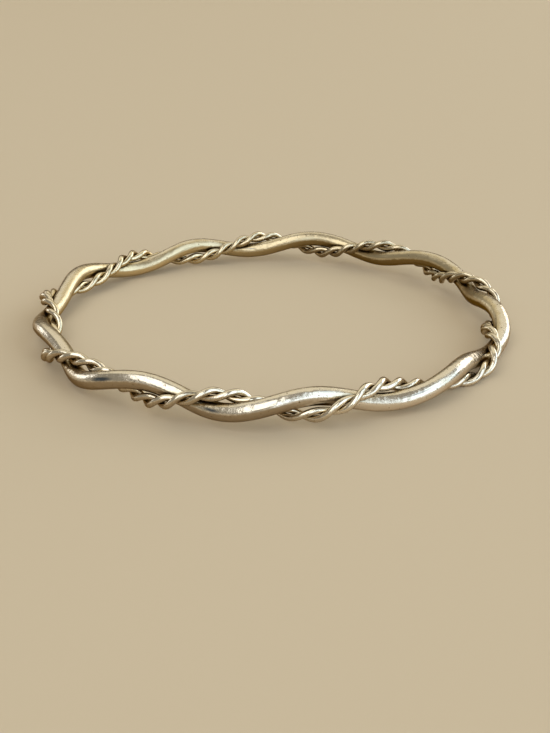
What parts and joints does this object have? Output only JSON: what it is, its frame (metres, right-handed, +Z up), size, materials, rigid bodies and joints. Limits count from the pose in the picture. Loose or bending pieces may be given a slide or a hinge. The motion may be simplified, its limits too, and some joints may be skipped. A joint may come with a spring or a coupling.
{
  "type": "twisted wire bangle",
  "caption": "Closed round bangle of a plain heavy silver wire and a fine two-ply wire rope twisted round each other; slips over the hand and is worn on the wrist.",
  "frame": {"origin": "middle of the bangle's footprint, on the surface that it lies on", "axes": "+Z up through the wrist opening, -Y towards the viewer of the picture, +X to the viewer's right"},
  "size_m": [0.073, 0.0722, 0.0056],
  "materials": {
    "heavy_wire_silver": "polished sterling silver, worn, with fine scratches, small pits and a warm tarnish in the recesses",
    "fine_wire_silver": "bright sterling silver on the crests, yellow-brown to dark tarnish in the grooves of the twist"
  },
  "bodies": {
    "root": {"heavy_wire": "heavy_wire_silver", "fine_wire_a": "fine_wire_silver", "fine_wire_b": "fine_wire_silver"}
  },
  "joints": []
}
